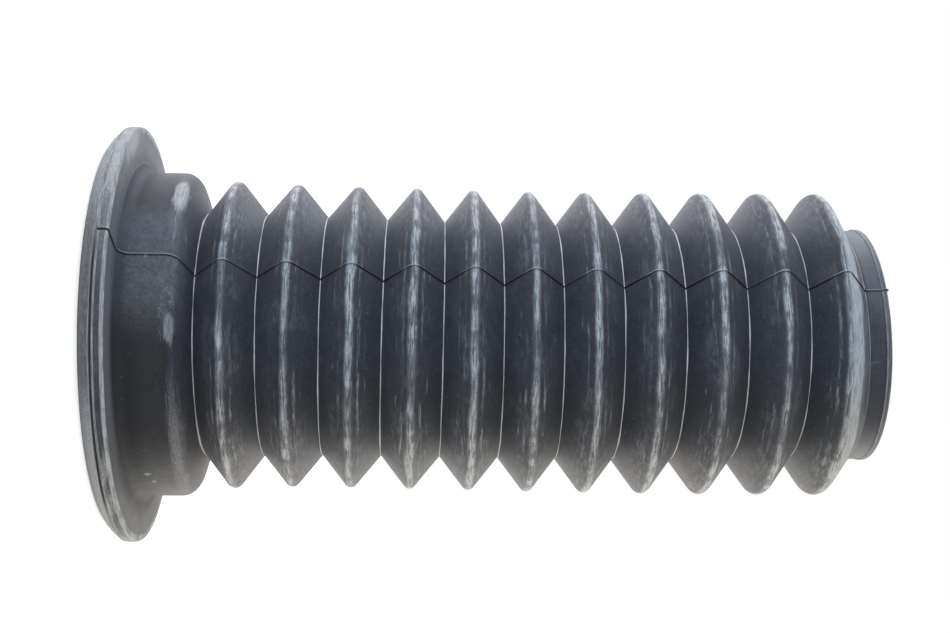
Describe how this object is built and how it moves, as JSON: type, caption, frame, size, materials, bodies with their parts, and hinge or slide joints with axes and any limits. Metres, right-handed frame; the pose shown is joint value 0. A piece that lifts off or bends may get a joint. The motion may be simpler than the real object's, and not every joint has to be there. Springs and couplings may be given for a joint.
{
  "type": "rubber bellows boot",
  "caption": "Tubular rubber dust boot with deep V folds between a flanged collar and a beaded end collar, for a suspension strut.",
  "frame": {"origin": "centre of the flange's seat face, on the boot's axis", "axes": "+Z along the boot's axis, from the flange towards the end collar; X and Y are equal by symmetry"},
  "size_m": [0.1086, 0.1086, 0.1962],
  "materials": {
    "rubber": "satin, blue-grey black with pale bloom and scuffs on the crests"
  },
  "bodies": {
    "root": {"bellows_boot": "rubber"}
  },
  "joints": []
}
